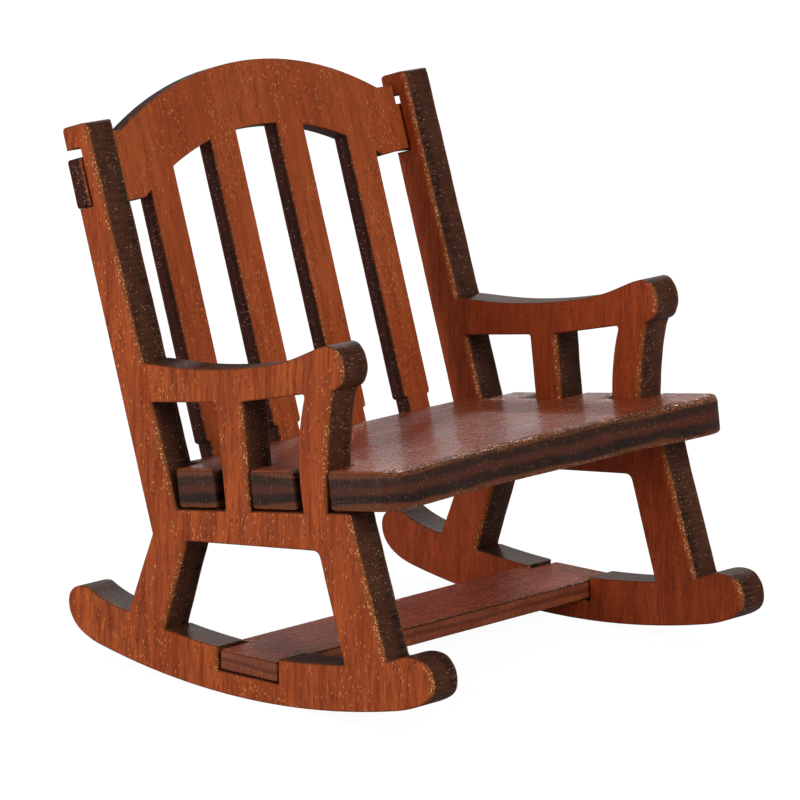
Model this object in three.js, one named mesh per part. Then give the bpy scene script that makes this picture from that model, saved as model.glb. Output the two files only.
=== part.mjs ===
// Miniature rocking chair, laser-cut from two thicknesses of plywood and glued.
//
// Five flat boards: two side frames (rocker, legs, seat rail, arm and back post in one piece),
// a back panel (crest rail and four slats in one piece), a seat board and a foot stretcher.
// The chair faces -Y, +X runs across it from side to side and +Z is up. Sizes are millimetres.
//
// Each side frame is drawn in its own plane: "forward" runs to the front of the chair and
// "height" runs up, both from the lowest point of the rocker's arc.

import * as THREE from 'three';

// ---------------------------------------------------------------- driving dimensions

const overallWidth = 77;        // across the outer faces of the two side frames
const frameThickness = 6;       // thick ply: side frames
const seatThickness = 6;        // thick ply: seat board
const panelThickness = 3;       // thin ply: back panel
const stretcherThickness = 3;   // thin ply: foot stretcher
const jointGap = 0.3;           // glue gap where one board meets another
const restPitch = -2;           // degrees; at rest the chair leans back until its weight is over the arc

// Rocker
const rockerRadius = 144;       // curve of the underside
const rockerDepth = 7;          // underside to the top edge between the legs
const rockerFront = 36;         // nose tip ahead of the arc's lowest point
const rockerBack = 39.5;        // tail tip behind it
const legFootHeight = 10;       // where the legs' outer edges run into the rocker

// Back post
const postRearFoot = -14.36;    // where the rear edge's line meets height 0
const postRearLean = 15.9;      // degrees
const postFrontFoot = -7.67;    // where the front edge's line meets height 0
const postFrontLean = 16.7;     // degrees
const postLength = 86.4;        // along the rear edge's line, from height 0 to the top

// Seat rail, legs and arm
const railHeight = 28.95;       // top of the seat rail at forward 0
const seatPitch = 6.4;          // degrees that the seat rises to the front
const railDepth = 5.27;         // top of the seat rail to its underside at forward 0
const railUnderPitch = 4.5;     // degrees
const ledgeFront = 19.9;        // front end of the ledge that carries the seat's ear
const armRise = 19.95;          // rail's top at forward 0 to the arm's top at the back post
const armDepth = 5.2;           // arm's top edge to the windows' top edge
const cornerCut = 0.7;          // how far the small rounded corners reach along each edge

// Back panel, measured along the post's rear edge from height 0
const panelProud = 0.45;        // panel stands this far behind the posts' rear edges
const crestTop = 92.2;          // top of the crest at mid width
const crestTopSpan = 0.8914;    // share of the room between the frames that the top arc spans
const crestBottom = 81.9;       // underside of the crest at mid width
const crestBottomSpan = 0.8286; // share that the underside's arc spans
const crestEndTop = 84.6;       // flat ends of the crest
const crestEndBottom = 73.8;
const notchBottom = 73.9;       // notches in the posts
const notchTop = 82.9;
const tabHeadroom = 1.4;        // top of the panel's tabs to the top of their notches
const slatCount = 4;
const slatSpread = 0.6941;      // share from the first slat's middle to the last one's
const slatWidth = 5.8;
const tenonLength = 7.98;       // seat's underside to the shoulder where a slat narrows
const tenonWidth = 4.5;

// Seat board, measured forward along the seat from forward 0
const seatFront = 27.2;         // front edge at mid width
const seatLobe = 1.8;           // how far the front edge swells near each end
const seatCorner = 3.2;         // reach of the rounded front corners along the side
const earRoom = 0.35;           // ears' rear edges to the front arm posts, at the seat's top
const rearTabRoom = { back: 0.97, front: 1.88 };   // rear tabs to the ends of their windows
const frontTabRoom = { back: 0.66, front: 1.42 };  // front tabs to the ends of theirs

// Foot stretcher, measured forward along the stretcher from forward 0
const stretcherPitch = -1.35;   // degrees
const stretcherNotch = { back: -7.75, front: 4.95, floor: 3.43 };
const stretcherTabRoom = 0.6;   // rear edge of the tabs to the notches' rear wall
const stretcherLip = 1.4;       // the board between the frames reaches this far behind the notches

// ---------------------------------------------------------------- plane drawing helpers

const radians = THREE.MathUtils.degToRad;
const at = (across, up) => new THREE.Vector2(across, up);

// A line that leans back from the vertical, and one that rises to the front.
function leaning(forward, height, degrees) {
  const lean = radians(degrees);
  return { start: at(forward, height), along: at(-Math.sin(lean), Math.cos(lean)) };
}

function rising(forward, height, degrees) {
  const pitch = radians(degrees);
  return { start: at(forward, height), along: at(Math.cos(pitch), Math.sin(pitch)) };
}

function pointAlong(line, distance) {
  return line.start.clone().addScaledVector(line.along, distance);
}

// The same line moved to its right-hand side, seen along its direction.
function movedRight(line, distance) {
  const right = at(line.along.y, -line.along.x);
  return { start: line.start.clone().addScaledVector(right, distance), along: line.along };
}

function meet(lineA, lineB) {
  const between = lineB.start.clone().sub(lineA.start);
  return pointAlong(lineA, between.cross(lineB.along) / lineA.along.cross(lineB.along));
}

function atHeight(line, height) {
  return pointAlong(line, (height - line.start.y) / line.along.y);
}

function lineTo(path, point) {
  path.lineTo(point.x, point.y);
}

function curveTo(path, control, end) {
  path.quadraticCurveTo(control.x, control.y, end.x, end.y);
}

function sCurveTo(path, controlA, controlB, end) {
  path.bezierCurveTo(controlA.x, controlA.y, controlB.x, controlB.y, end.x, end.y);
}

// Runs to a corner and rounds it toward the next point.
function roundCorner(path, corner, next, cut = cornerCut) {
  const before = path.currentPoint.clone().sub(corner).setLength(cut).add(corner);
  const after = next.clone().sub(corner).setLength(cut).add(corner);
  lineTo(path, before);
  curveTo(path, corner, after);
}

// A closed outline through straight edges with every corner rounded.
function roundedPolygon(path, corners, cut = cornerCut) {
  const start = corners[0].clone().lerp(corners[corners.length - 1], 0.5);
  path.moveTo(start.x, start.y);
  corners.forEach((corner, i) => {
    const next = i + 1 < corners.length ? corners[i + 1] : start;
    roundCorner(path, corner, next, cut);
  });
  path.closePath();
  return path;
}

// Angle on a circle about forward 0 whose lowest point is below its centre.
const arcAngle = (forward, radius) => Math.asin(forward / radius) - Math.PI / 2;
const arcHeight = (forward, radius) => rockerRadius - Math.sqrt(radius ** 2 - forward ** 2);

// ---------------------------------------------------------------- shared lines

const postRear = leaning(postRearFoot, 0, postRearLean);
const postFront = leaning(postFrontFoot, 0, postFrontLean);
const railTop = rising(0, railHeight, seatPitch);
const railUnder = rising(0, railHeight - railDepth, railUnderPitch);
const rearLegBack = leaning(-30.75, 0, -23.5);
const rearLegFront = leaning(-22.02, 0, -19.86);
const frontLegBack = leaning(20.87, 0, 16.3);
const frontLegFront = leaning(29.68, 0, 17.63);
const armHeight = railHeight + armRise;
const armTopRear = rising(-22.4, armHeight, 0.5);
const middlePostBack = leaning(-2.27, 0, 5.88);
const middlePostFront = leaning(2.19, 0, 4.75);
const frontWindowFoot = leaning(10.75, railHeight, 0);
const armPostFront = leaning(15.35, railHeight, 0);
const rearWindowTop = rising(-13.8, armHeight - armDepth + 0.1, 6.6);
const frontWindowTop = rising(4.9, armHeight - armDepth + 2.95, 11.8);

// Front faces of the back panel, in the plane of the side frames.
const panelFront = movedRight(postRear, panelThickness - panelProud);

// ---------------------------------------------------------------- side frame

// Nose: underside, round tip and the gentle slope up to it from the leg's foot.
function drawNose(path, root, foot) {
  const tip = at(rockerFront, root.y + 4.35);
  const top = at(rockerFront - 4.4, foot.y + 1.35);
  sCurveTo(path, at(root.x + 2.6, root.y + 0.6), at(rockerFront, root.y + 1.95), tip);
  curveTo(path, at(rockerFront, top.y), top);
  sCurveTo(path, at(top.x - 2, top.y), at(foot.x + 1.5, foot.y + 0.25), foot);
}

// Tail: from the rear leg's foot over the raised round end to the underside.
function drawTail(path, root, foot) {
  const top = at(3.6 - rockerBack, foot.y + 2.6);
  const tip = at(-rockerBack, foot.y - 0.2);
  sCurveTo(path, at(top.x + 3.2, foot.y + 0.6), at(top.x + 1.2, top.y), top);
  curveTo(path, at(0.2 - rockerBack, top.y - 0.1), tip);
  sCurveTo(path, at(-rockerBack, root.y + 2.9), at(root.x - 4.2, root.y + 0.97), root);
}

// Ledge and front arm post, up to the underside of the arm's round end.
function drawFrontPost(path, postFoot, armEnd) {
  const ledgeEnd = pointAlong(railTop, ledgeFront / railTop.along.x);
  roundCorner(path, ledgeEnd, postFoot, cornerCut);
  lineTo(path, postFoot);
  curveTo(path, at(postFoot.x - 0.1, armEnd.y - 6), armEnd);
}

// Round end of the arm and its hollowed top edge, back to the post.
function drawArm(path, armEnd, armRoot) {
  const tip = at(armEnd.x + 2.2, armEnd.y + 3.3);
  const crown = at(armEnd.x - 1, armEnd.y + 6.7);
  curveTo(path, at(tip.x, armEnd.y + 0.9), tip);
  curveTo(path, at(tip.x - 0.3, crown.y), crown);
  path.splineThru([
    at(14, armHeight + 6.2),
    at(8.5, armHeight + 3.9),
    at(3.7, armHeight + 2.55),
    at(-4.6, armHeight + 1.05),
    at(-13, armHeight + 0.2),
    armRoot,
  ]);
}

// Back post: front edge, top and the rear edge with its open notch for the back panel's tab.
function drawBackPost(path) {
  const topRear = pointAlong(postRear, postLength);
  const squareAcross = at(postRear.along.y, -postRear.along.x);
  const topFront = meet(postFront, { start: topRear, along: squareAcross });
  const notchWall = movedRight(postRear, panelThickness);
  roundCorner(path, topFront, topRear, 1.1);
  roundCorner(path, topRear, postRear.start, 0.8);
  lineTo(path, pointAlong(postRear, notchTop));
  lineTo(path, pointAlong(notchWall, notchTop));
  lineTo(path, pointAlong(notchWall, notchBottom));
  lineTo(path, pointAlong(postRear, notchBottom));
}

// Window over the rear half of the seat, behind the middle arm post.
function rearWindow() {
  return roundedPolygon(new THREE.Path(), [
    meet(postFront, railTop),
    meet(middlePostBack, railTop),
    meet(middlePostBack, rearWindowTop),
    meet(postFront, rearWindowTop),
  ], 0.5);
}

// Window between the middle arm post and the bowed front arm post.
function frontWindow() {
  const lowFront = meet(frontWindowFoot, railTop);
  const highFront = meet(leaning(11.4, railHeight, 0), frontWindowTop);
  const highBack = meet(middlePostFront, frontWindowTop);
  const lowBack = meet(middlePostFront, railTop);
  const bow = at(8.95, (lowFront.y + highFront.y) / 2);
  const window = new THREE.Path();
  window.moveTo(lowBack.x, lowBack.y);
  lineTo(window, lowFront);
  curveTo(window, bow, highFront.clone().add(at(-0.1, -cornerCut)));
  curveTo(window, highFront, highFront.clone().addScaledVector(frontWindowTop.along, -cornerCut));
  roundCorner(window, highBack, lowBack);
  window.closePath();
  return window;
}

// Opening between the legs, with the stretcher's notch in the rocker's top edge.
function legOpening() {
  const innerRadius = rockerRadius - rockerDepth;
  const floor = rising(0, stretcherNotch.floor, stretcherPitch);
  const rearFoot = meet(rearLegFront, rising(0, arcHeight(-18.9, innerRadius), 0));
  const frontFoot = meet(frontLegBack, rising(0, arcHeight(18.3, innerRadius), 0));
  const railFront = meet(frontLegBack, railUnder);
  const railRear = meet(rearLegFront, railUnder);
  const opening = new THREE.Path();
  opening.absarc(0, rockerRadius, innerRadius,
    arcAngle(rearFoot.x, innerRadius), arcAngle(stretcherNotch.back, innerRadius), false);
  lineTo(opening, meet(leaning(stretcherNotch.back, 0, 0), floor));
  lineTo(opening, meet(leaning(stretcherNotch.front, 0, 0), floor));
  opening.absarc(0, rockerRadius, innerRadius,
    arcAngle(stretcherNotch.front, innerRadius), arcAngle(frontFoot.x, innerRadius), false);
  roundCorner(opening, railFront, railRear, 1.2);
  roundCorner(opening, railRear, rearFoot);
  opening.closePath();
  return opening;
}

function sideFrameOutline() {
  const noseRoot = at(rockerFront - 7, arcHeight(rockerFront - 7, rockerRadius));
  const tailRoot = at(7 - rockerBack, arcHeight(7 - rockerBack, rockerRadius));
  const frontFoot = atHeight(frontLegFront, legFootHeight);
  const rearFoot = atHeight(rearLegBack, legFootHeight);
  const postFoot = meet(armPostFront, railTop);
  const armEnd = at(17, armHeight + 0.15);
  const armRoot = meet(postFront, armTopRear);

  const outline = new THREE.Shape();
  outline.absarc(0, rockerRadius, rockerRadius,
    arcAngle(tailRoot.x, rockerRadius), arcAngle(noseRoot.x, rockerRadius), false);
  drawNose(outline, noseRoot, frontFoot);
  lineTo(outline, atHeight(frontLegFront, railHeight));
  drawFrontPost(outline, postFoot, armEnd);
  drawArm(outline, armEnd, armRoot);
  drawBackPost(outline);
  lineTo(outline, meet(postRear, rearLegBack));
  lineTo(outline, rearFoot);
  drawTail(outline, tailRoot, rearFoot);
  outline.holes.push(rearWindow(), frontWindow(), legOpening());
  return outline;
}

// ---------------------------------------------------------------- back panel

// Half of the room between the side frames, less the glue gap.
const innerHalfWidth = overallWidth / 2 - frameThickness - jointGap;
const outerHalfWidth = overallWidth / 2;

// An arc about mid width, from its highest point down to two ends.
function crestArc(top, endHeight, halfSpan) {
  const rise = top - endHeight;
  const radius = (halfSpan ** 2 + rise ** 2) / (2 * rise);
  return { centre: top - radius, radius, halfSpan };
}

const crestTopArc = crestArc(crestTop, crestEndTop, crestTopSpan * innerHalfWidth);
const crestUnderArc = crestArc(crestBottom, crestEndBottom, crestBottomSpan * innerHalfWidth);
const angleOn = (arc, across) => Math.acos(across / arc.radius);

// One slat, down its left side, across its tenon and up its right side.
function drawSlat(path, centre, tenonEnd) {
  const side = slatWidth / 2;
  const tenon = tenonWidth / 2;
  const shoulder = tenonEnd + tenonLength;
  lineTo(path, at(centre - side, shoulder + cornerCut));
  curveTo(path, at(centre - side, shoulder), at(centre - tenon, shoulder));
  lineTo(path, at(centre - tenon, tenonEnd));
  lineTo(path, at(centre + tenon, tenonEnd));
  lineTo(path, at(centre + tenon, shoulder));
  curveTo(path, at(centre + side, shoulder), at(centre + side, shoulder + cornerCut));
}

// Underside of the crest between two places across the chair.
function drawCrestUnderside(path, from, to) {
  path.absarc(0, crestUnderArc.centre, crestUnderArc.radius,
    angleOn(crestUnderArc, from), angleOn(crestUnderArc, to), true);
}

function backPanelOutline() {
  const seatUnderside = movedRight(railTop, -jointGap);
  const tenonEnd = meet(panelFront, seatUnderside).distanceTo(panelFront.start);
  const firstSlat = -slatSpread * innerHalfWidth;
  const slatPitch = -2 * firstSlat / (slatCount - 1);

  const outline = new THREE.Shape();
  outline.moveTo(-innerHalfWidth, crestEndBottom);
  let from = -crestUnderArc.halfSpan;
  for (let i = 0; i < slatCount; i += 1) {
    const centre = firstSlat + i * slatPitch;
    drawCrestUnderside(outline, from, centre - slatWidth / 2);
    drawSlat(outline, centre, tenonEnd);
    from = centre + slatWidth / 2;
  }
  drawCrestUnderside(outline, from, crestUnderArc.halfSpan);
  lineTo(outline, at(innerHalfWidth, crestEndBottom));
  drawTab(outline, 1);
  lineTo(outline, at(innerHalfWidth, crestEndTop));
  outline.absarc(0, crestTopArc.centre, crestTopArc.radius,
    angleOn(crestTopArc, crestTopArc.halfSpan), angleOn(crestTopArc, -crestTopArc.halfSpan), false);
  lineTo(outline, at(-innerHalfWidth, crestEndTop));
  drawTab(outline, -1);
  outline.closePath();
  return outline;
}

// Tab through a post's notch: upward on the right side (+1), downward on the left (-1).
function drawTab(path, side) {
  const bottom = notchBottom + jointGap;
  const top = notchTop - tabHeadroom;
  const ends = side > 0 ? [bottom, top] : [top, bottom];
  lineTo(path, at(side * innerHalfWidth, ends[0]));
  roundCorner(path, at(side * outerHalfWidth, ends[0]), at(side * outerHalfWidth, ends[1]), 0.6);
  roundCorner(path, at(side * outerHalfWidth, ends[1]), at(side * innerHalfWidth, ends[1]), 0.6);
  lineTo(path, at(side * innerHalfWidth, ends[1]));
}

// ---------------------------------------------------------------- seat board

// How far forward along the seat a line crosses the seat rail's top.
function alongSeat(line) {
  return meet(railTop, line).sub(railTop.start).dot(railTop.along);
}

// Rear edge: the seat's underside stops just short of the slats' tenons.
const seatBack = alongSeat(panelFront) + jointGap;

// Side edge of the seat with its two tabs and its ear, from the back to the front corner.
function seatSide(side) {
  const inner = side * innerHalfWidth;
  const outer = side * outerHalfWidth;
  const rearTabBack = alongSeat(postFront) + rearTabRoom.back;
  const rearTabFront = alongSeat(middlePostBack) - rearTabRoom.front;
  const frontTabBack = alongSeat(middlePostFront) + frontTabRoom.back;
  const frontTabFront = alongSeat(frontWindowFoot) - frontTabRoom.front;
  const seatLean = (seatThickness + jointGap) * Math.tan(radians(seatPitch));
  const earBack = alongSeat(armPostFront) + seatLean + earRoom;
  return [
    at(inner, seatBack),
    at(inner, rearTabBack),
    at(outer, rearTabBack),
    at(outer, rearTabFront),
    at(inner, rearTabFront),
    at(inner, frontTabBack),
    at(outer, frontTabBack),
    at(outer, frontTabFront),
    at(inner, frontTabFront),
    at(inner, earBack),
    at(outer, earBack),
    at(outer, seatFront + seatLobe - seatCorner),
  ];
}

function drawSeatSide(path, corners) {
  corners.slice(0, -1).forEach((corner, i) => roundCorner(path, corner, corners[i + 1], 0.5));
  lineTo(path, corners[corners.length - 1]);
}

// Front edge: a rounded corner and a swelling at each end, straight across the middle.
function drawSeatFront(path) {
  const lobeTop = seatFront + seatLobe;
  const peak = outerHalfWidth - 5;
  const middle = outerHalfWidth - 26.5;
  curveTo(path, at(outerHalfWidth, lobeTop), at(peak, lobeTop));
  sCurveTo(path, at(peak - 6.5, lobeTop), at(middle + 10, seatFront), at(middle, seatFront));
  lineTo(path, at(-middle, seatFront));
  sCurveTo(path, at(-middle - 10, seatFront), at(6.5 - peak, lobeTop), at(-peak, lobeTop));
  curveTo(path, at(-outerHalfWidth, lobeTop), at(-outerHalfWidth, lobeTop - seatCorner));
}

// Outline seen from above: across the chair, and forward along the seat.
function seatOutline() {
  const outline = new THREE.Shape();
  outline.moveTo(0, seatBack);
  drawSeatSide(outline, seatSide(1));
  drawSeatFront(outline);
  drawSeatSide(outline, seatSide(-1).reverse());
  outline.closePath();
  return outline;
}

// ---------------------------------------------------------------- foot stretcher

// Board between the frames with a step in its rear edge at each tab.
function stretcherOutline() {
  const front = stretcherNotch.front - jointGap;
  const back = stretcherNotch.back - stretcherLip;
  const tabBack = stretcherNotch.back + stretcherTabRoom;
  const corners = [
    at(-innerHalfWidth, back),
    at(innerHalfWidth, back),
    at(innerHalfWidth, tabBack),
    at(outerHalfWidth, tabBack),
    at(outerHalfWidth, front),
    at(-outerHalfWidth, front),
    at(-outerHalfWidth, tabBack),
    at(-innerHalfWidth, tabBack),
  ];
  return roundedPolygon(new THREE.Shape(), corners, 0.5);
}

// ---------------------------------------------------------------- boards in place

function ply(colour) {
  return new THREE.MeshStandardMaterial({ color: colour, roughness: 0.4, metalness: 0 });
}

// A board of even thickness, cut to an outline; its outline's plane is the underside.
function board(name, outline, thickness, colour) {
  const geometry = new THREE.ExtrudeGeometry(outline, {
    depth: thickness,
    bevelEnabled: false,
    curveSegments: 12,
  });
  const mesh = new THREE.Mesh(geometry, ply(colour));
  mesh.name = name;
  return mesh;
}

// Stands a board drawn as (forward, height) upright, from xRight toward -X.
function standAcross(mesh, xRight) {
  const forward = new THREE.Vector3(0, -1, 0);
  const up = new THREE.Vector3(0, 0, 1);
  const turn = new THREE.Matrix4().makeBasis(forward, up, forward.clone().cross(up));
  mesh.quaternion.setFromRotationMatrix(turn);
  mesh.position.x = xRight;
}

// Lays a board drawn as (across, along the line) with its drawn face on that line.
function layAlong(mesh, line) {
  const across = new THREE.Vector3(-1, 0, 0);
  const along = new THREE.Vector3(0, -line.along.x, line.along.y);
  const turn = new THREE.Matrix4().makeBasis(across, along, across.clone().cross(along));
  mesh.quaternion.setFromRotationMatrix(turn);
  mesh.position.set(0, -line.start.x, line.start.y);
}

const rightFrame = board('side_frame_right', sideFrameOutline(), frameThickness, 0xa04b28);
standAcross(rightFrame, frameThickness - outerHalfWidth);

const leftFrame = board('side_frame_left', sideFrameOutline(), frameThickness, 0xa04b28);
standAcross(leftFrame, outerHalfWidth);

const backPanel = board('back_panel', backPanelOutline(), panelThickness, 0x96452a);
layAlong(backPanel, panelFront);

const seat = board('seat_board', seatOutline(), seatThickness, 0x8f4a35);
layAlong(seat, movedRight(railTop, -jointGap));

const stretcher = board('foot_stretcher', stretcherOutline(), stretcherThickness, 0x8f4a35);
layAlong(stretcher, movedRight(rising(0, stretcherNotch.floor, stretcherPitch), -jointGap));

// ---------------------------------------------------------------- whole chair

// The chair at rest, with the origin under the middle of its outer box.
const chair = new THREE.Group();
chair.add(rightFrame, leftFrame, backPanel, seat, stretcher);
chair.rotation.x = radians(restPitch);
chair.updateMatrixWorld(true);

const box = new THREE.Box3().setFromObject(chair, true);
chair.position.y = -(box.min.y + box.max.y) / 2;
chair.position.z = -box.min.z;

export default chair;
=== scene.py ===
import math

import bmesh
import bpy
from mathutils import Matrix, Vector


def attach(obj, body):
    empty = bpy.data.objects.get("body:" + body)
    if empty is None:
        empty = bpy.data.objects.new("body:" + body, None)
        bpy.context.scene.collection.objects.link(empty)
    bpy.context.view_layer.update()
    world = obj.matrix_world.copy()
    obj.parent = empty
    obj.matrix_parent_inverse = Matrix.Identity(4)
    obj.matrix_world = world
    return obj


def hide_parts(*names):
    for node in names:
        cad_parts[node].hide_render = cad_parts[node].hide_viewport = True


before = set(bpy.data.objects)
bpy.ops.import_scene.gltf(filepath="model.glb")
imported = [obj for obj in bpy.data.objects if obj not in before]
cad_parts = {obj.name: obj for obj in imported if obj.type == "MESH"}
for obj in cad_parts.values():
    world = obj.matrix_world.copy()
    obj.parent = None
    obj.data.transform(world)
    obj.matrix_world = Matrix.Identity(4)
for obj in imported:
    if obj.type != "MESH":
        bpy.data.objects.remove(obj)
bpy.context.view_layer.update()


# ---------------------------------------------------------------- side frames
# Each side frame is one board of five-ply: rocker, legs, seat rail, arm and back post in one.
# It is cut out by laser, which chars the edges, then its arrises are rubbed down,
# and the whole board is stained red-brown and varnished.

MM = 0.001


def board_bench(node, grain, best):
    """The board lying flat on the bench, in mm: its grain along Y, its best face up."""
    area = {}
    for tri in node.data.polygons:
        key = tuple(round(c, 2) for c in tri.normal)
        area[key] = area.get(key, 0) + tri.area
    broad = [key for key in area if area[key] > 0.98 * max(area.values())]
    rough = Vector(max(broad, key=lambda key: best.dot(Vector(key))))
    flattest = max(node.data.polygons, key=lambda tri: (round(tri.normal.dot(rough), 4), tri.area))
    face_up = flattest.normal.normalized()
    along = (grain - face_up * grain.dot(face_up)).normalized()
    across = along.cross(face_up)
    corners = [Vector(v.co) for v in node.data.vertices]
    middle = Vector([
        (min(c[i] for c in corners) + max(c[i] for c in corners)) / 2 for i in range(3)
    ])
    levels = [(c - middle).dot(face_up) for c in corners]
    thickness = max(levels) - min(levels)
    middle += face_up * (max(levels) + min(levels)) / 2
    turn = Matrix((across, along, face_up)).transposed().to_4x4()
    return Matrix.Translation(middle) @ turn @ Matrix.Scale(MM, 4), thickness / MM


def cut_lines(node, bench):
    """The board's outline and openings as closed lines on the bench, wood on the left-hand side."""
    to_bench = bench.inverted()
    sheet = bmesh.new()
    sheet.from_mesh(node.data)
    bmesh.ops.remove_doubles(sheet, verts=sheet.verts, dist=0.002 * MM)
    top = dict.fromkeys(f for f in sheet.faces if all((to_bench @ v.co).z > 0 for v in f.verts))
    step = {}
    for face in top:
        for corner in face.loops:
            if not all(f in top for f in corner.edge.link_faces):
                step[corner.vert] = corner.link_loop_next.vert
    lines = []
    while step:
        start, here = step.popitem()
        line = [start]
        while here is not start:
            line.append(here)
            here = step.pop(here)
        lines.append([(to_bench @ v.co).xy for v in line])
    sheet.free()
    return lines


def spaced(line, near, far=1.6):
    """The closed line with extra points: near beside its corners, far apart along its straights."""
    points = []
    for here, there in zip(line, line[1:] + line[:1]):
        length = (there - here).length
        stops = [0.0]
        if length > 3 * near:
            inner = max(1, round((length - 2 * near) / far))
            stops += [(near + (length - 2 * near) * i / inner) / length for i in range(inner + 1)]
        points += [here.lerp(there, s) for s in stops]
    return points


def node_maker(tree):
    """Adds a node to the tree with its settings, and its inputs as values or links."""
    def make(kind, inputs=(), **settings):
        node = tree.nodes.new(kind)
        for key, value in settings.items():
            setattr(node, key, value)
        for key, value in dict(inputs).items():
            if isinstance(value, bpy.types.NodeSocket):
                tree.links.new(value, node.inputs[key])
            else:
                node.inputs[key].default_value = value
        return node
    return make


def board_cutter():
    """Geometry nodes: a board of one thickness whose eased edge follows its cut lines."""
    tree = bpy.data.node_groups.new("cut board", "GeometryNodeTree")
    for label, kind in (
        ("Cut Lines", "Geometry"), ("Thickness", "Float"), ("Arris", "Float"),
        ("Rubbed Arris", "Float"), ("Rubbed Side", "Vector"), ("Rubbed Underneath", "Float"),
        ("Arris Steps", "Int"), ("Finish", "Material"),
    ):
        tree.interface.new_socket(label, in_out="INPUT", socket_type="NodeSocket" + kind)
    tree.interface.new_socket("Board", in_out="OUTPUT", socket_type="NodeSocketGeometry")
    make = node_maker(tree)
    given = make("NodeGroupInput").outputs

    def sum_of(operation, *terms):
        return make("ShaderNodeMath", dict(enumerate(terms)), operation=operation).outputs[0]

    def vector_sum(operation, inputs):
        return make("ShaderNodeVectorMath", inputs, operation=operation).outputs[0]

    def marked(geometry, name, value, kind="FLOAT"):
        return make("GeometryNodeStoreNamedAttribute", {
            "Geometry": geometry, "Name": name, "Value": value,
        }, data_type=kind, domain="POINT").outputs[0]

    def mark(name, kind="FLOAT"):
        read = make("GeometryNodeInputNamedAttribute", {"Name": name}, data_type=kind)
        return read.outputs["Attribute"]

    # How wide the arris is rubbed at each place along the cut lines: fully within 25 degrees
    # of the rubbed side, not at all past 70, and wandering a third either way.
    outward = make("GeometryNodeInputNormal").outputs[0]
    position = make("GeometryNodeInputPosition").outputs[0]
    level = make("GeometryNodeSetCurveNormal", {"Curve": given["Cut Lines"]}, mode="Z_UP")
    towards = make("ShaderNodeVectorMath", {
        0: outward, 1: given["Rubbed Side"],
    }, operation="DOT_PRODUCT")
    reach = make("ShaderNodeMapRange", {
        "Value": towards.outputs["Value"], "From Min": 0.35, "From Max": 0.9,
    }, interpolation_type="SMOOTHSTEP").outputs["Result"]
    wobble = make("ShaderNodeTexNoise", {"Vector": position, "Scale": 0.22, "Detail": 2.0})
    uneven = sum_of("MULTIPLY_ADD", wobble.outputs["Fac"], 0.7, 0.65)
    extra = sum_of("MULTIPLY", sum_of("SUBTRACT", given["Rubbed Arris"], given["Arris"]), reach)
    lower_extra = sum_of("MULTIPLY", extra, given["Rubbed Underneath"])
    upper_arris = sum_of("MULTIPLY", sum_of("ADD", given["Arris"], extra), uneven)
    lower_arris = sum_of("MULTIPLY", sum_of("ADD", given["Arris"], lower_extra), uneven)
    walked = make("GeometryNodeSplineParameter").outputs["Length"]
    lines = marked(level.outputs[0], "along the edge", walked)
    lines = marked(lines, "outward", outward, "FLOAT_VECTOR")
    lines = marked(lines, "upper arris", upper_arris)
    lines = marked(lines, "lower arris", lower_arris)
    lines = marked(lines, "rubbed", reach)

    # The edge's section, drawn with arrises of one unit about two corners of a tall bar.
    # Its two flat lips reach a little further in than the arrises do.
    tall = 2.0
    lip = 1.25
    section = make("GeometryNodeCurvePrimitiveQuadrilateral", mode="POINTS")
    for number, (out, up) in enumerate(((-lip, tall), (0, tall), (0, -tall), (-lip, -tall)), 1):
        section.inputs[f"Point {number}"].default_value = (out, up, 0)
    opened = make("GeometryNodeSetSplineCyclic", {"Geometry": section.outputs[0], "Cyclic": False})
    eased = make("GeometryNodeFilletCurve", {
        "Curve": opened.outputs[0], "Count": given["Arris Steps"], "Radius": 1.0,
    }, mode="POLY").outputs[0]
    side = sum_of("SIGN", make("ShaderNodeSeparateXYZ", {0: position}).outputs["Y"])
    corner = make("ShaderNodeCombineXYZ", {"Y": sum_of("MULTIPLY", side, tall)}).outputs[0]
    eased = marked(eased, "side", side)
    eased = marked(eased, "ease", vector_sum("SUBTRACT", {0: position, 1: corner}), "FLOAT_VECTOR")
    half = sum_of("MULTIPLY", given["Thickness"], 0.5)
    at_corner = make("ShaderNodeCombineXYZ", {"Y": sum_of("MULTIPLY", mark("side"), half)})
    bar = make("GeometryNodeSetPosition", {
        "Geometry": eased, "Position": at_corner.outputs[0],
    }).outputs[0]

    # The edge band is swept square, then each arris is eased by its own width.
    # The sweep stands the section on its head, so its high side ends up underneath.
    band = make("GeometryNodeCurveToMesh", {"Curve": lines, "Profile Curve": bar}).outputs[0]
    is_upper = sum_of("LESS_THAN", mark("side"), 0.0)
    width = make("ShaderNodeMix", {
        "Factor": is_upper, 2: mark("lower arris"), 3: mark("upper arris"),
    }, data_type="FLOAT").outputs[0]
    ease = make("ShaderNodeSeparateXYZ", {0: mark("ease", "FLOAT_VECTOR")})
    inward = vector_sum("SCALE", {0: mark("outward", "FLOAT_VECTOR"), "Scale": ease.outputs["X"]})
    settle = sum_of("MULTIPLY", ease.outputs["Y"], -1.0)
    slope = vector_sum("ADD", {
        0: inward, 1: make("ShaderNodeCombineXYZ", {"Z": settle}).outputs[0],
    })
    move = vector_sum("SCALE", {0: slope, "Scale": width})
    band = make("GeometryNodeSetPosition", {"Geometry": band, "Offset": move}).outputs[0]

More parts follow.
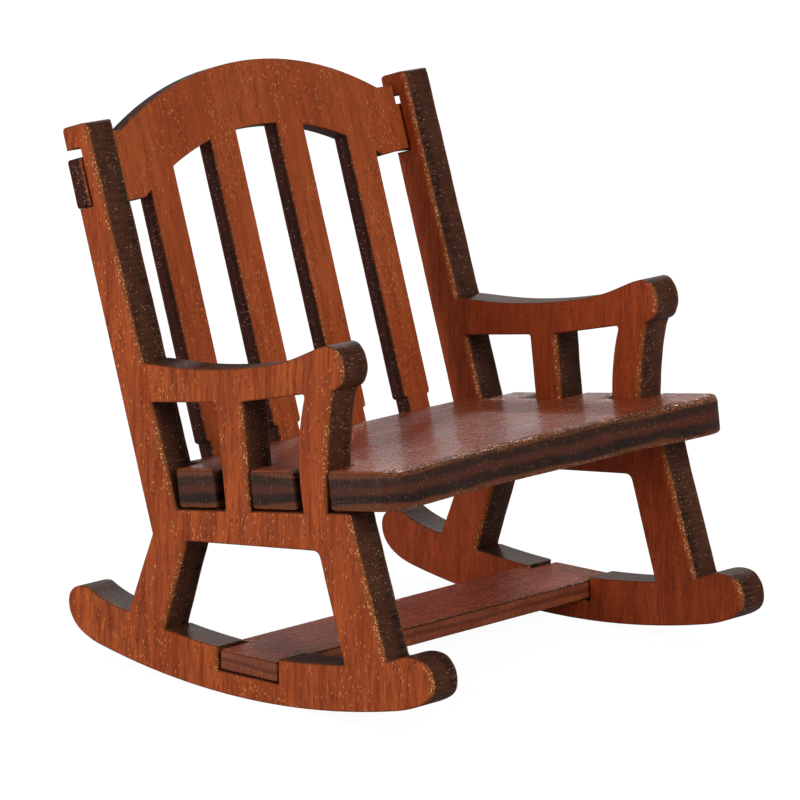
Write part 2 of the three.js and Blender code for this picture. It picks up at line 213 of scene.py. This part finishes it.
    # The two broad faces start where the arrises end.
    joined = make("GeometryNodeJoinGeometry")
    tree.links.new(band, joined.inputs[0])
    for arris, share in (("upper arris", 0.5), ("lower arris", -0.5)):
        rim = sum_of("MULTIPLY", mark(arris), -lip)
        inset = vector_sum("SCALE", {0: mark("outward", "FLOAT_VECTOR"), "Scale": rim})
        rim_line = make("GeometryNodeSetPosition", {"Geometry": lines, "Offset": inset}).outputs[0]
        face = make("GeometryNodeFillCurve", {"Curve": rim_line}, mode="TRIANGLES").outputs[0]
        height = sum_of("MULTIPLY", given["Thickness"], share)
        lift = make("ShaderNodeCombineXYZ", {"Z": height}).outputs[0]
        moved = make("GeometryNodeSetPosition", {"Geometry": face, "Offset": lift}).outputs[0]
        tree.links.new(moved, joined.inputs[0])
    closed = make("GeometryNodeMergeByDistance", {"Geometry": joined.outputs[0], "Distance": 0.004})
    height = make("ShaderNodeSeparateXYZ", {0: position}).outputs["Z"]
    across = sum_of("DIVIDE", height, given["Thickness"])
    board = marked(closed.outputs[0], "across the edge", across)
    plain = make("GeometryNodeRealizeInstances", {"Geometry": board}).outputs[0]
    finished = make("GeometryNodeSetMaterial", {"Geometry": plain, "Material": given["Finish"]})
    make("NodeGroupOutput", {"Board": finished.outputs[0]})
    return tree


cut_board_tree = board_cutter()
ARRIS_STEPS = 5
CORNER_ROOM = 1.3  # from a corner to the next point, in widths of the arris
WELD = 0.012 * MM
SHARP_TURN = math.radians(38)


def cut_board(name, node, grain, best, sizes, finish, fitted=None):
    """A board cut from the CAD node's outline, eased, finished and in its place on the chair.

    A function given as fitted moves the cut lines first, so that the board sits in its joints.
    """
    bench, thickness = board_bench(node, Vector(grain), Vector(best))
    template = bpy.data.curves.new(name + "_template", "CURVE")
    template.dimensions = "3D"
    template.twist_mode = "Z_UP"
    lines = cut_lines(node, bench)
    if fitted:
        lines = fitted(lines)
    for line in lines:
        points = spaced(line, CORNER_ROOM * sizes["Arris"])
        spline = template.splines.new("POLY")
        spline.points.add(len(points) - 1)
        for spot, point in zip(spline.points, points):
            spot.co = (point.x, point.y, 0, 1)
        spline.use_cyclic_u = True
    blank = bpy.data.objects.new(name + "_template", template)
    bpy.context.scene.collection.objects.link(blank)
    cutter = blank.modifiers.new("cut board", "NODES")
    cutter.node_group = cut_board_tree
    rubbed = bench.to_3x3().inverted() @ Vector(sizes["Rubbed Side"])
    rubbed.z = 0
    wanted = {
        **sizes, "Rubbed Side": rubbed.normalized(), "Thickness": thickness,
        "Arris Steps": ARRIS_STEPS, "Finish": finish(name, bench, thickness),
    }
    for item in cut_board_tree.interface.items_tree:
        if item.name in wanted and item.in_out == "INPUT":
            cutter[item.identifier] = wanted[item.name]
    cut = blank.evaluated_get(bpy.context.evaluated_depsgraph_get())
    mesh = bpy.data.meshes.new_from_object(cut)
    bpy.data.objects.remove(blank)
    mesh.name = name
    mesh.transform(bench)
    solid = bmesh.new()
    solid.from_mesh(mesh)
    bmesh.ops.remove_doubles(solid, verts=solid.verts, dist=WELD)
    # Slivers left open where two wide arrises meet at a corner are closed.
    open_edges = [edge for edge in solid.edges if edge.is_boundary]
    bmesh.ops.holes_fill(solid, edges=open_edges, sides=0)
    many_sided = [face for face in solid.faces if len(face.verts) > 4]
    bmesh.ops.triangulate(solid, faces=many_sided)
    bmesh.ops.recalc_face_normals(solid, faces=solid.faces)
    for face in solid.faces:
        face.smooth = True
    solid.to_mesh(mesh)
    solid.free()
    mesh.set_sharp_from_angle(angle=SHARP_TURN)
    board = bpy.data.objects.new(name, mesh)
    bpy.context.scene.collection.objects.link(board)
    return board


def shader_group(name, inputs, outputs):
    """An empty shader group with its named sockets, and the maker for its nodes."""
    group = bpy.data.node_groups.new(name, "ShaderNodeTree")
    for label, kind, value in inputs:
        socket = group.interface.new_socket(label, in_out="INPUT", socket_type="NodeSocket" + kind)
        if value is not None:
            socket.default_value = value
    for label, kind in outputs:
        group.interface.new_socket(label, in_out="OUTPUT", socket_type="NodeSocket" + kind)
    return group, node_maker(group)


def sums(make):
    """Short words for arithmetic between sockets."""
    def sum_of(operation, first, second=0.0, third=0.0):
        terms = {0: first, 1: second, 2: third}
        return make("ShaderNodeMath", terms, operation=operation).outputs[0]

    def ramp(value, low, high):
        return make("ShaderNodeMapRange", {
            "Value": value, "From Min": low, "From Max": high,
        }, interpolation_type="SMOOTHSTEP").outputs["Result"]

    def stretched(vector, x, y, z):
        scaled = make("ShaderNodeVectorMath", {0: vector, 1: (x, y, z)}, operation="MULTIPLY")
        return scaled.outputs[0]

    def cloudy(vector, detail=2.0, roughness=0.5):
        return make("ShaderNodeTexNoise", {
            "Vector": vector, "Scale": 1.0, "Detail": detail, "Roughness": roughness,
        }).outputs["Fac"]

    return sum_of, ramp, stretched, cloudy


def veneer_figure():
    """Straight-grained veneer: streaks along Y, open pores as short dark dashes, and painted glints
    in pores as short bright dashes.
    """
    group, make = shader_group(
        "veneer figure",
        [("Place", "Vector", None), ("Batch", "Float", 0.0)],
        [("Streaks", "Float"), ("Cloud", "Float"), ("Dark Pores", "Float"),
         ("Bright Pores", "Float")],
    )
    given = make("NodeGroupInput").outputs
    sum_of, ramp, stretched, cloudy = sums(make)
    own = make("ShaderNodeCombineXYZ", {axis: given["Batch"] for axis in "XYZ"}).outputs[0]
    place = make("ShaderNodeVectorMath", {0: given["Place"], 1: own}, operation="ADD").outputs[0]
    sway = sum_of("MULTIPLY_ADD", cloudy(stretched(place, 0.1, 0.035, 0.1), 1.0), 2.4, -1.2)
    swayed = make("ShaderNodeVectorMath", {
        0: place, 1: make("ShaderNodeCombineXYZ", {"X": sway}).outputs[0],
    }, operation="ADD").outputs[0]
    fine = cloudy(stretched(swayed, 3.4, 0.3, 3.4), 3.0, 0.65)
    broad = cloudy(stretched(swayed, 0.9, 0.06, 0.9), 2.0, 0.5)
    streaks = sum_of("MULTIPLY_ADD", fine, 0.6, sum_of("MULTIPLY", broad, 0.4))
    cloud = cloudy(stretched(place, 0.11, 0.05, 0.11), 2.0, 0.5)
    crowd = ramp(cloudy(stretched(place, 0.16, 0.1, 0.16), 2.0, 0.6), 0.38, 0.62)

    def dashes(width, length, share, shift):
        """Short dashes along the grain, one to a cell of this width and length in mm."""
        moved = make("ShaderNodeVectorMath", {
            0: swayed, 1: (shift, shift, 0),
        }, operation="ADD").outputs[0]
        spots = make("ShaderNodeTexVoronoi", {
            "Vector": stretched(moved, 1 / width, 1 / length, 1 / width), "Scale": 1.0,
        })
        dash = sum_of("SUBTRACT", 1.0, ramp(spots.outputs["Distance"], 0.16, 0.36))
        pick = make("ShaderNodeSeparateColor", {0: spots.outputs["Color"]}).outputs[0]
        few = sum_of("MULTIPLY_ADD", crowd, -share, 1.0)
        return sum_of("MULTIPLY", dash, sum_of("GREATER_THAN", pick, few))

    make("NodeGroupOutput", {
        "Streaks": ramp(streaks, 0.32, 0.68),
        "Cloud": ramp(cloud, 0.3, 0.7),
        "Dark Pores": dashes(0.26, 0.9, 0.5, 0.0),
        # Bright dashes: painted highlights, glints in the open pores.
        "Bright Pores": dashes(0.24, 0.8, 0.3, 0.13),
    })
    return group


def charred_edge():
    """A laser-cut edge: dark cross plies, browner veneers and core, scorch lines across it, and
    painted glints.
    """
    group, make = shader_group(
        "charred edge",
        [("Along", "Float", 0.0), ("Across", "Float", 0.0), ("Thickness", "Float", 6.0),
         ("Batch", "Float", 0.0)],
        [("Scorch", "Float"), ("Middle Ply", "Float"), ("Veneer", "Float"), ("Best Side", "Float"),
         ("Glints", "Float"), ("Lines", "Float")],
    )
    given = make("NodeGroupInput").outputs
    sum_of, ramp, stretched, cloudy = sums(make)
    height = sum_of("MULTIPLY", given["Across"], given["Thickness"])
    place = make("ShaderNodeCombineXYZ", {
        "X": given["Along"], "Y": height, "Z": given["Batch"],
    }).outputs[0]
    drift = sum_of("MULTIPLY_ADD", cloudy(stretched(place, 0.09, 0.12, 1.0), 3.0), 0.44, -0.22)
    level = sum_of("ADD", given["Across"], drift)
    lines = cloudy(stretched(place, 2.3, 0.16, 1.0), 2.0, 0.6)
    grit = cloudy(stretched(place, 2.4, 2.4, 1.0), 3.0, 0.65)
    blotches = cloudy(stretched(place, 0.16, 0.4, 1.0), 3.0, 0.6)
    # Glints: painted highlights, bright specks on the char in random patches.
    specks = make("ShaderNodeTexVoronoi", {
        "Vector": stretched(place, 2.5, 1.7, 1.0), "Scale": 1.0,
    })
    speck = sum_of("SUBTRACT", 1.0, ramp(specks.outputs["Distance"], 0.1, 0.3))
    pick = make("ShaderNodeSeparateColor", {0: specks.outputs["Color"]}).outputs[0]
    shiny = ramp(cloudy(stretched(place, 0.12, 0.3, 1.0), 2.0, 0.5), 0.42, 0.62)
    few = sum_of("MULTIPLY_ADD", shiny, -0.55, 0.88)
    rough = sum_of("MULTIPLY_ADD", grit, 0.3, sum_of("MULTIPLY", blotches, 0.3))
    tone = sum_of("MULTIPLY_ADD", lines, 0.4, rough)
    make("NodeGroupOutput", {
        "Scorch": ramp(tone, 0.36, 0.64),
        "Middle Ply": sum_of("SUBTRACT", 1.0, ramp(sum_of("ABSOLUTE", level), 0.05, 0.16)),
        "Veneer": ramp(sum_of("ABSOLUTE", level), 0.3, 0.4),
        "Best Side": ramp(level, -0.2, 0.12),
        "Glints": sum_of("MULTIPLY", speck, sum_of("GREATER_THAN", pick, few)),
        "Lines": sum_of("MULTIPLY_ADD", lines, 0.6, sum_of("MULTIPLY", grit, 0.4)),
    })
    return group


def eased_arris():
    """Where a surface turns from face to edge: edge, arris, where it is worn, and beads: bare wood
    and partly a painted highlight.
    """
    group, make = shader_group(
        "eased arris",
        [("Face Up", "Vector", (0, 0, 1)), ("Place", "Vector", None), ("Kept Share", "Float", 0.85)],
        [("Edge", "Float"), ("Arris", "Float"), ("Worn", "Float"), ("Beads", "Float")],
    )
    given = make("NodeGroupInput").outputs
    sum_of, ramp, stretched, cloudy = sums(make)
    outward = make("ShaderNodeTexCoord").outputs["Normal"]
    facing = sum_of("ABSOLUTE", make("ShaderNodeVectorMath", {
        0: outward, 1: given["Face Up"],
    }, operation="DOT_PRODUCT").outputs["Value"])
    off_face = sum_of("SUBTRACT", 1.0, ramp(facing, 0.88, 0.995))
    arris = sum_of("MULTIPLY", ramp(facing, 0.16, 0.5), off_face)
    beads = make("ShaderNodeTexVoronoi", {
        "Vector": stretched(given["Place"], 3.8, 2.6, 3.8), "Scale": 1.0,
    })
    bead = sum_of("SUBTRACT", 1.0, ramp(beads.outputs["Distance"], 0.22, 0.46))
    pick = make("ShaderNodeSeparateColor", {0: beads.outputs["Color"]}).outputs[0]
    crowd = ramp(cloudy(stretched(given["Place"], 0.22, 0.22, 0.22), 2.0), 0.36, 0.6)
    few = sum_of("MULTIPLY_ADD", crowd, -0.5, given["Kept Share"])
    rubbed = make("ShaderNodeAttribute", attribute_name="rubbed").outputs["Fac"]
    worn = sum_of("MULTIPLY", arris, rubbed)
    bare = sum_of("MULTIPLY", bead, sum_of("GREATER_THAN", pick, few))
    make("NodeGroupOutput", {
        "Edge": sum_of("SUBTRACT", 1.0, ramp(facing, 0.25, 0.62)),
        "Arris": arris,
        "Worn": worn,
        "Beads": sum_of("MULTIPLY", worn, bare),
    })
    return group


veneer_group = veneer_figure()
edge_group = charred_edge()
arris_group = eased_arris()


def colour(red, green, blue):
    """A colour as it looks on a screen, 0 to 255, made linear."""
    shares = [c / 255 for c in (red, green, blue)]
    return tuple(c / 12.92 if c < 0.0404 else ((c + 0.055) / 1.055) ** 2.4 for c in shares) + (1,)


def stained_ply(looks):
    """The finish for one board: stained veneer on its faces and charred plies on its edges."""

    def finish(name, bench, thickness):
        material = bpy.data.materials.new(name + "_finish")
        material.use_nodes = True
        tree = material.node_tree
        tree.nodes.clear()
        make = node_maker(tree)
        sum_of, ramp, stretched, cloudy = sums(make)

        def mixed(first, second, share):
            blend = make("ShaderNodeMix", {"Factor": share, 6: first, 7: second}, data_type="RGBA")
            return blend.outputs[2]

        def coated(under, name, mask, strength):
            return mixed(under, looks[name], sum_of("MULTIPLY", mask, strength))

        spot, turn, _ = bench.decompose()
        place = make("ShaderNodeMapping", {
            "Vector": make("ShaderNodeTexCoord").outputs["Object"],
            "Location": spot, "Rotation": turn.to_euler(), "Scale": (MM, MM, MM),
        }, vector_type="TEXTURE").outputs[0]
        figure = make("ShaderNodeGroup", node_tree=veneer_group)
        tree.links.new(place, figure.inputs["Place"])
        figure.inputs["Batch"].default_value = looks["batch"]
        edge = make("ShaderNodeGroup", node_tree=edge_group)
        for label, socket in (("along the edge", "Along"), ("across the edge", "Across")):
            read = make("ShaderNodeAttribute", attribute_name=label)
            tree.links.new(read.outputs["Fac"], edge.inputs[socket])
        edge.inputs["Thickness"].default_value = thickness
        edge.inputs["Batch"].default_value = looks["batch"]
        arris = make("ShaderNodeGroup", node_tree=arris_group)
        tree.links.new(place, arris.inputs["Place"])
        arris.inputs["Kept Share"].default_value = looks["kept"]
        arris.inputs["Face Up"].default_value = bench.to_3x3().col[2].normalized()

        face = mixed(looks["deep"], looks["light"], figure.outputs["Streaks"])
        face = coated(face, "red", figure.outputs["Cloud"], 0.5)
        face = coated(face, "pore", figure.outputs["Dark Pores"], 0.85)
        # Painted highlights: glints of light caught in the open pores.
        face = coated(face, "fleck", figure.outputs["Bright Pores"], looks["flecks"])
        band = mixed(looks["char"], looks["burn"], edge.outputs["Scorch"])
        band = coated(band, "tan", edge.outputs["Best Side"], looks["tanned"])
        band = coated(band, "core", edge.outputs["Middle Ply"], looks["cores"])
        band = coated(band, "rim", edge.outputs["Veneer"], looks["rims"])
        # Painted highlights: glints on the charred edge.
        band = coated(band, "glint", edge.outputs["Glints"], looks["glints"])
        base = mixed(face, band, arris.outputs["Edge"])
        base = coated(base, "singed", arris.outputs["Arris"], 0.6)
        base = coated(base, "worn", arris.outputs["Worn"], looks["wear"])
        # The bright beads are bare wood where the arris is worn, and partly a painted highlight on
        # the arris.
        base = coated(base, "rubbed", arris.outputs["Beads"], looks["rub"])

        peel = cloudy(stretched(place, *looks["peel"]), 2.0, 0.55)
        skin = sum_of("MULTIPLY_ADD", figure.outputs["Streaks"], looks["grain relief"], peel)
        skin = sum_of("SUBTRACT", skin, sum_of("MULTIPLY", figure.outputs["Dark Pores"], 0.4))
        furrows = sum_of("MULTIPLY", edge.outputs["Lines"], looks["char relief"])
        relief = make("ShaderNodeMix", {
            "Factor": arris.outputs["Edge"], 2: skin, 3: furrows,
        }, data_type="FLOAT").outputs[0]
        bump = make("ShaderNodeBump", {
            "Strength": 1.0, "Distance": looks["relief"] * MM, "Height": relief,
        })
        rough = make("ShaderNodeMix", {
            "Factor": arris.outputs["Edge"],
            2: sum_of("MULTIPLY_ADD", figure.outputs["Streaks"], 0.1, looks["roughness"]),
            3: looks["edge roughness"],
        }, data_type="FLOAT").outputs[0]
        wood = make("ShaderNodeBsdfPrincipled", {
            "Base Color": base,
            "Roughness": rough,
            "Specular IOR Level": looks["shine"],
            "Normal": bump.outputs[0],
        })
        make("ShaderNodeOutputMaterial", {"Surface": wood.outputs[0]})
        return material
    return finish


# Colours of the veneer, the charred edge and the arrises, each with how much of it shows,
# then the varnish: its roughness, shine and the depth in mm of its ripples.
red_brown = {
    "batch": 3.0,
    "light": colour(192, 94, 44), "deep": colour(118, 48, 21), "red": colour(146, 60, 26),
    # Bright fleck colour: painted highlights, glints in the open pores.
    "pore": colour(66, 24, 12), "fleck": colour(252, 172, 108), "flecks": 0.7,
    "char": colour(22, 12, 9), "burn": colour(84, 52, 38),
    "core": colour(84, 40, 26), "cores": 0.35, "rim": colour(104, 56, 32), "rims": 0.35,
    # Edge glint colour: painted highlights on the charred edge.
    "tan": colour(104, 58, 36), "tanned": 0.25, "glint": colour(190, 150, 110), "glints": 0.7,
    "singed": colour(96, 46, 24), "worn": colour(150, 80, 38), "wear": 0.5,
    # Bright bead colour: worn wood, and partly a painted highlight on the arris.
    "rubbed": colour(250, 186, 122), "rub": 0.75, "kept": 0.85,
    "roughness": 0.4, "edge roughness": 0.6, "shine": 0.1,
    "relief": 0.05, "peel": (1.4, 0.5, 1.4), "grain relief": 0.4, "char relief": 1.6,
}
frame_arris = {
    "Arris": 0.28, "Rubbed Arris": 0.85, "Rubbed Side": (0, -1, 0.25), "Rubbed Underneath": 1.0,
}
right_frame = cut_board(
    "side_frame_right_board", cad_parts["side_frame_right"], (0, 0, 1), (-1, 0, 0),
    frame_arris, stained_ply(red_brown),
)
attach(right_frame, "root")
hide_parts("side_frame_right")

# Painted shade: the left frame's veneer is darker and redder and has fewer pore glints, as its inner
# face is shaded by the right frame, seat and back.
left_frame = cut_board(
    "side_frame_left_board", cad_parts["side_frame_left"], (0, 0, 1), (1, 0, 0),
    frame_arris, stained_ply({
        **red_brown, "batch": 41.0,
        "light": colour(172, 74, 32), "deep": colour(120, 46, 20), "flecks": 0.15,
    }),
)
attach(left_frame, "root")
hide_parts("side_frame_left")


# ---------------------------------------------------------------- back panel
# The back panel is one thin board: an arched crest rail and four slats, grain up the slats.
# Its tabs lie in the posts' notches, and its tenons are glued against the seat's back edge.

TAB_LENGTH = 5.9
TAB_ROOM = 0.26
TAB_FOOT = 1.0


def settled(lines):
    """Each tab's underside is let down through its room onto the floor of its notch."""
    outer = max(max(p.x for p in line) for line in lines)
    tab_points = [p for line in lines for p in line if abs(p.x) > outer - TAB_LENGTH]
    floor = min(p.y for p in tab_points)
    for point in tab_points:
        if point.y < floor + TAB_FOOT:
            point.y -= TAB_ROOM
    return lines


panel_arris = {
    "Arris": 0.22, "Rubbed Arris": 0.3, "Rubbed Side": (-1, 0, 0), "Rubbed Underneath": 0.5,
}
back_panel = cut_board(
    "back_panel_board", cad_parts["back_panel"], (0, 0, 1), (0, -1, 0), panel_arris,
    stained_ply({
        **red_brown, "batch": 87.0,
        "light": colour(182, 90, 46), "deep": colour(142, 66, 34), "flecks": 0.6,
        "char": colour(34, 15, 12), "burn": colour(70, 30, 22), "tanned": 0.0,
        "wear": 0.2, "rub": 0.5,
    }),
    settled,
)
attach(back_panel, "root")
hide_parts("back_panel")


# ---------------------------------------------------------------- seat board
# The seat is one thick board, grain from side to side. Its four tabs pass through the side
# frames and its two ears rest on their ledges. Its top front arris is rounded well over,
# and it has the thickest varnish of all the boards.

glossy = {
    **red_brown, "batch": 120.0,
    "light": colour(176, 84, 44), "deep": colour(132, 58, 30), "red": colour(140, 58, 30),
    # The seat's whitish pore glints are painted sparkle on its varnish.
    "fleck": colour(244, 206, 186), "flecks": 0.45,
    "char": colour(24, 12, 9), "burn": colour(56, 31, 21),
    "core": colour(88, 40, 25), "cores": 0.7, "rim": colour(110, 58, 32), "rims": 0.8,
    "tanned": 0.1, "glints": 0.3,
    "singed": colour(128, 74, 44), "worn": colour(92, 50, 28), "wear": 0.85,
    # Gold bead colour on the front arris: worn wood, and partly a painted highlight.
    "rubbed": colour(228, 150, 88), "kept": 0.62,
    "roughness": 0.1, "edge roughness": 0.55, "shine": 0.2,
    "relief": 0.7, "peel": (0.8, 0.6, 0.8), "grain relief": 0.2, "char relief": 0.0,
}
seat_arris = {
    "Arris": 0.65, "Rubbed Arris": 1.3, "Rubbed Side": (0, -1, 0), "Rubbed Underneath": 0.0,
}
seat = cut_board(
    "seat_board_board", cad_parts["seat_board"], (1, 0, 0), (0, 0, 1),
    seat_arris, stained_ply(glossy),
)
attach(seat, "root")
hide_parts("seat_board")


# ---------------------------------------------------------------- foot stretcher
# The foot stretcher is one thin board that lies flat between the rockers, grain along it,
# with its ends glued in their notches. Its edges are coloured browner than the other boards' edges.

stretcher_arris = {
    "Arris": 0.25, "Rubbed Arris": 0.4, "Rubbed Side": (0, -1, 0), "Rubbed Underneath": 0.0,
}
stretcher = cut_board(
    "foot_stretcher_board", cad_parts["foot_stretcher"], (1, 0, 0), (0, 0, 1),
    stretcher_arris, stained_ply({
        **glossy, "batch": 160.0,
        "light": colour(196, 92, 52), "deep": colour(148, 64, 38), "red": colour(156, 62, 36),
        "char": colour(104, 48, 30), "burn": colour(148, 76, 46), "rims": 0.3,
        "relief": 1.4, "peel": (1.1, 0.8, 1.1),
    }),
)
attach(stretcher, "root")
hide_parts("foot_stretcher")


# ---------------------------------------------------------------- table, light and camera
# The chair stands on a plain white table that glows to the camera, so that its shadow is
# faint. Two broad lamps light its right side and its front, and a small one behind it
# draws the sheen on the varnish.

TABLE_HALF = 6.0

table_mesh = bpy.data.meshes.new("table")
table_mesh.from_pydata([
    (x * TABLE_HALF, y * TABLE_HALF, 0) for x, y in ((-1, -1), (1, -1), (1, 1), (-1, 1))
], [], [(0, 1, 2, 3)])
table = bpy.data.objects.new("table", table_mesh)
bpy.context.scene.collection.objects.link(table)
white = bpy.data.materials.new("white_table")
white.use_nodes = True
white.node_tree.nodes.clear()
make = node_maker(white.node_tree)
seen = make("ShaderNodeLightPath").outputs["Is Camera Ray"]
matt = make("ShaderNodeBsdfDiffuse", {"Color": (0.6, 0.6, 0.6, 1)})
bright = make("ShaderNodeEmission", {"Color": (1, 1, 1, 1), "Strength": 1.12})
share = make("ShaderNodeMath", {0: seen, 1: 0.86}, operation="MULTIPLY").outputs[0]
table_top = make("ShaderNodeMixShader", {0: share, 1: matt.outputs[0], 2: bright.outputs[0]})
make("ShaderNodeOutputMaterial", {"Surface": table_top.outputs[0]})
table_mesh.materials.append(white)

surroundings = bpy.data.worlds.new("studio")
surroundings.use_nodes = True
surroundings.node_tree.nodes.clear()
make = node_maker(surroundings.node_tree)
direction = make("ShaderNodeTexCoord").outputs["Generated"]
behind = make("ShaderNodeVectorMath", {
    0: direction, 1: (0.6, 0.8, 0.0),
}, operation="DOT_PRODUCT").outputs["Value"]
glow = make("ShaderNodeMapRange", {
    "Value": behind, "From Min": 0.0, "From Max": 0.9, "To Min": 0.25, "To Max": 0.35,
}, interpolation_type="SMOOTHSTEP").outputs["Result"]
seen = make("ShaderNodeLightPath").outputs["Is Camera Ray"]
strength = make("ShaderNodeMix", {"Factor": seen, 2: glow, 3: 1.1}, data_type="FLOAT").outputs[0]
sky = make("ShaderNodeBackground", {"Color": (1, 1, 1, 1), "Strength": strength})
make("ShaderNodeOutputWorld", {"Surface": sky.outputs[0]})
bpy.context.scene.world = surroundings


CHAIR_MIDDLE = Vector((0, 0, 0.04))


def lamp(name, place, size, power):
    """A square soft lamp at a place, aimed at the middle of the chair."""
    light = bpy.data.lights.new(name, "AREA")
    light.size = size
    light.energy = power
    holder = bpy.data.objects.new(name, light)
    holder.location = place
    holder.rotation_euler = (Vector(place) - CHAIR_MIDDLE).to_track_quat("Z", "Y").to_euler()
    bpy.context.scene.collection.objects.link(holder)


lamp("left_lamp", (-0.95, 0.25, 0.2), 0.4, 4.3)
lamp("front_lamp", (-0.25, -0.95, 0.65), 0.5, 6.8)
lamp("back_lamp", (0.6, 0.52, 0.56), 0.12, 3.2)

AIM = Vector((-2.0, 0.77, 39.82)) * MM
DISTANCE = 886.2 * MM
AZIMUTH, ELEVATION, ROLL = (math.radians(a) for a in (-47.646, 12.275, 0.525))
flat_reach = math.cos(ELEVATION)
back = Vector((
    math.sin(AZIMUTH) * flat_reach, -math.cos(AZIMUTH) * flat_reach, math.sin(ELEVATION),
))
level = Vector((math.cos(AZIMUTH), math.sin(AZIMUTH), 0))
right = level * math.cos(ROLL) + back.cross(level) * math.sin(ROLL)
lens = bpy.data.cameras.new("camera")
lens.lens = 260.6
lens.sensor_width = 36
lens.clip_start = 0.01
lens.clip_end = 50
camera = bpy.data.objects.new("camera", lens)
camera.matrix_world = Matrix.Translation(AIM + back * DISTANCE) @ Matrix((
    right, back.cross(right), back,
)).transposed().to_4x4()
bpy.context.scene.collection.objects.link(camera)
bpy.context.scene.camera = camera
bpy.context.scene.view_settings.view_transform = "Standard"
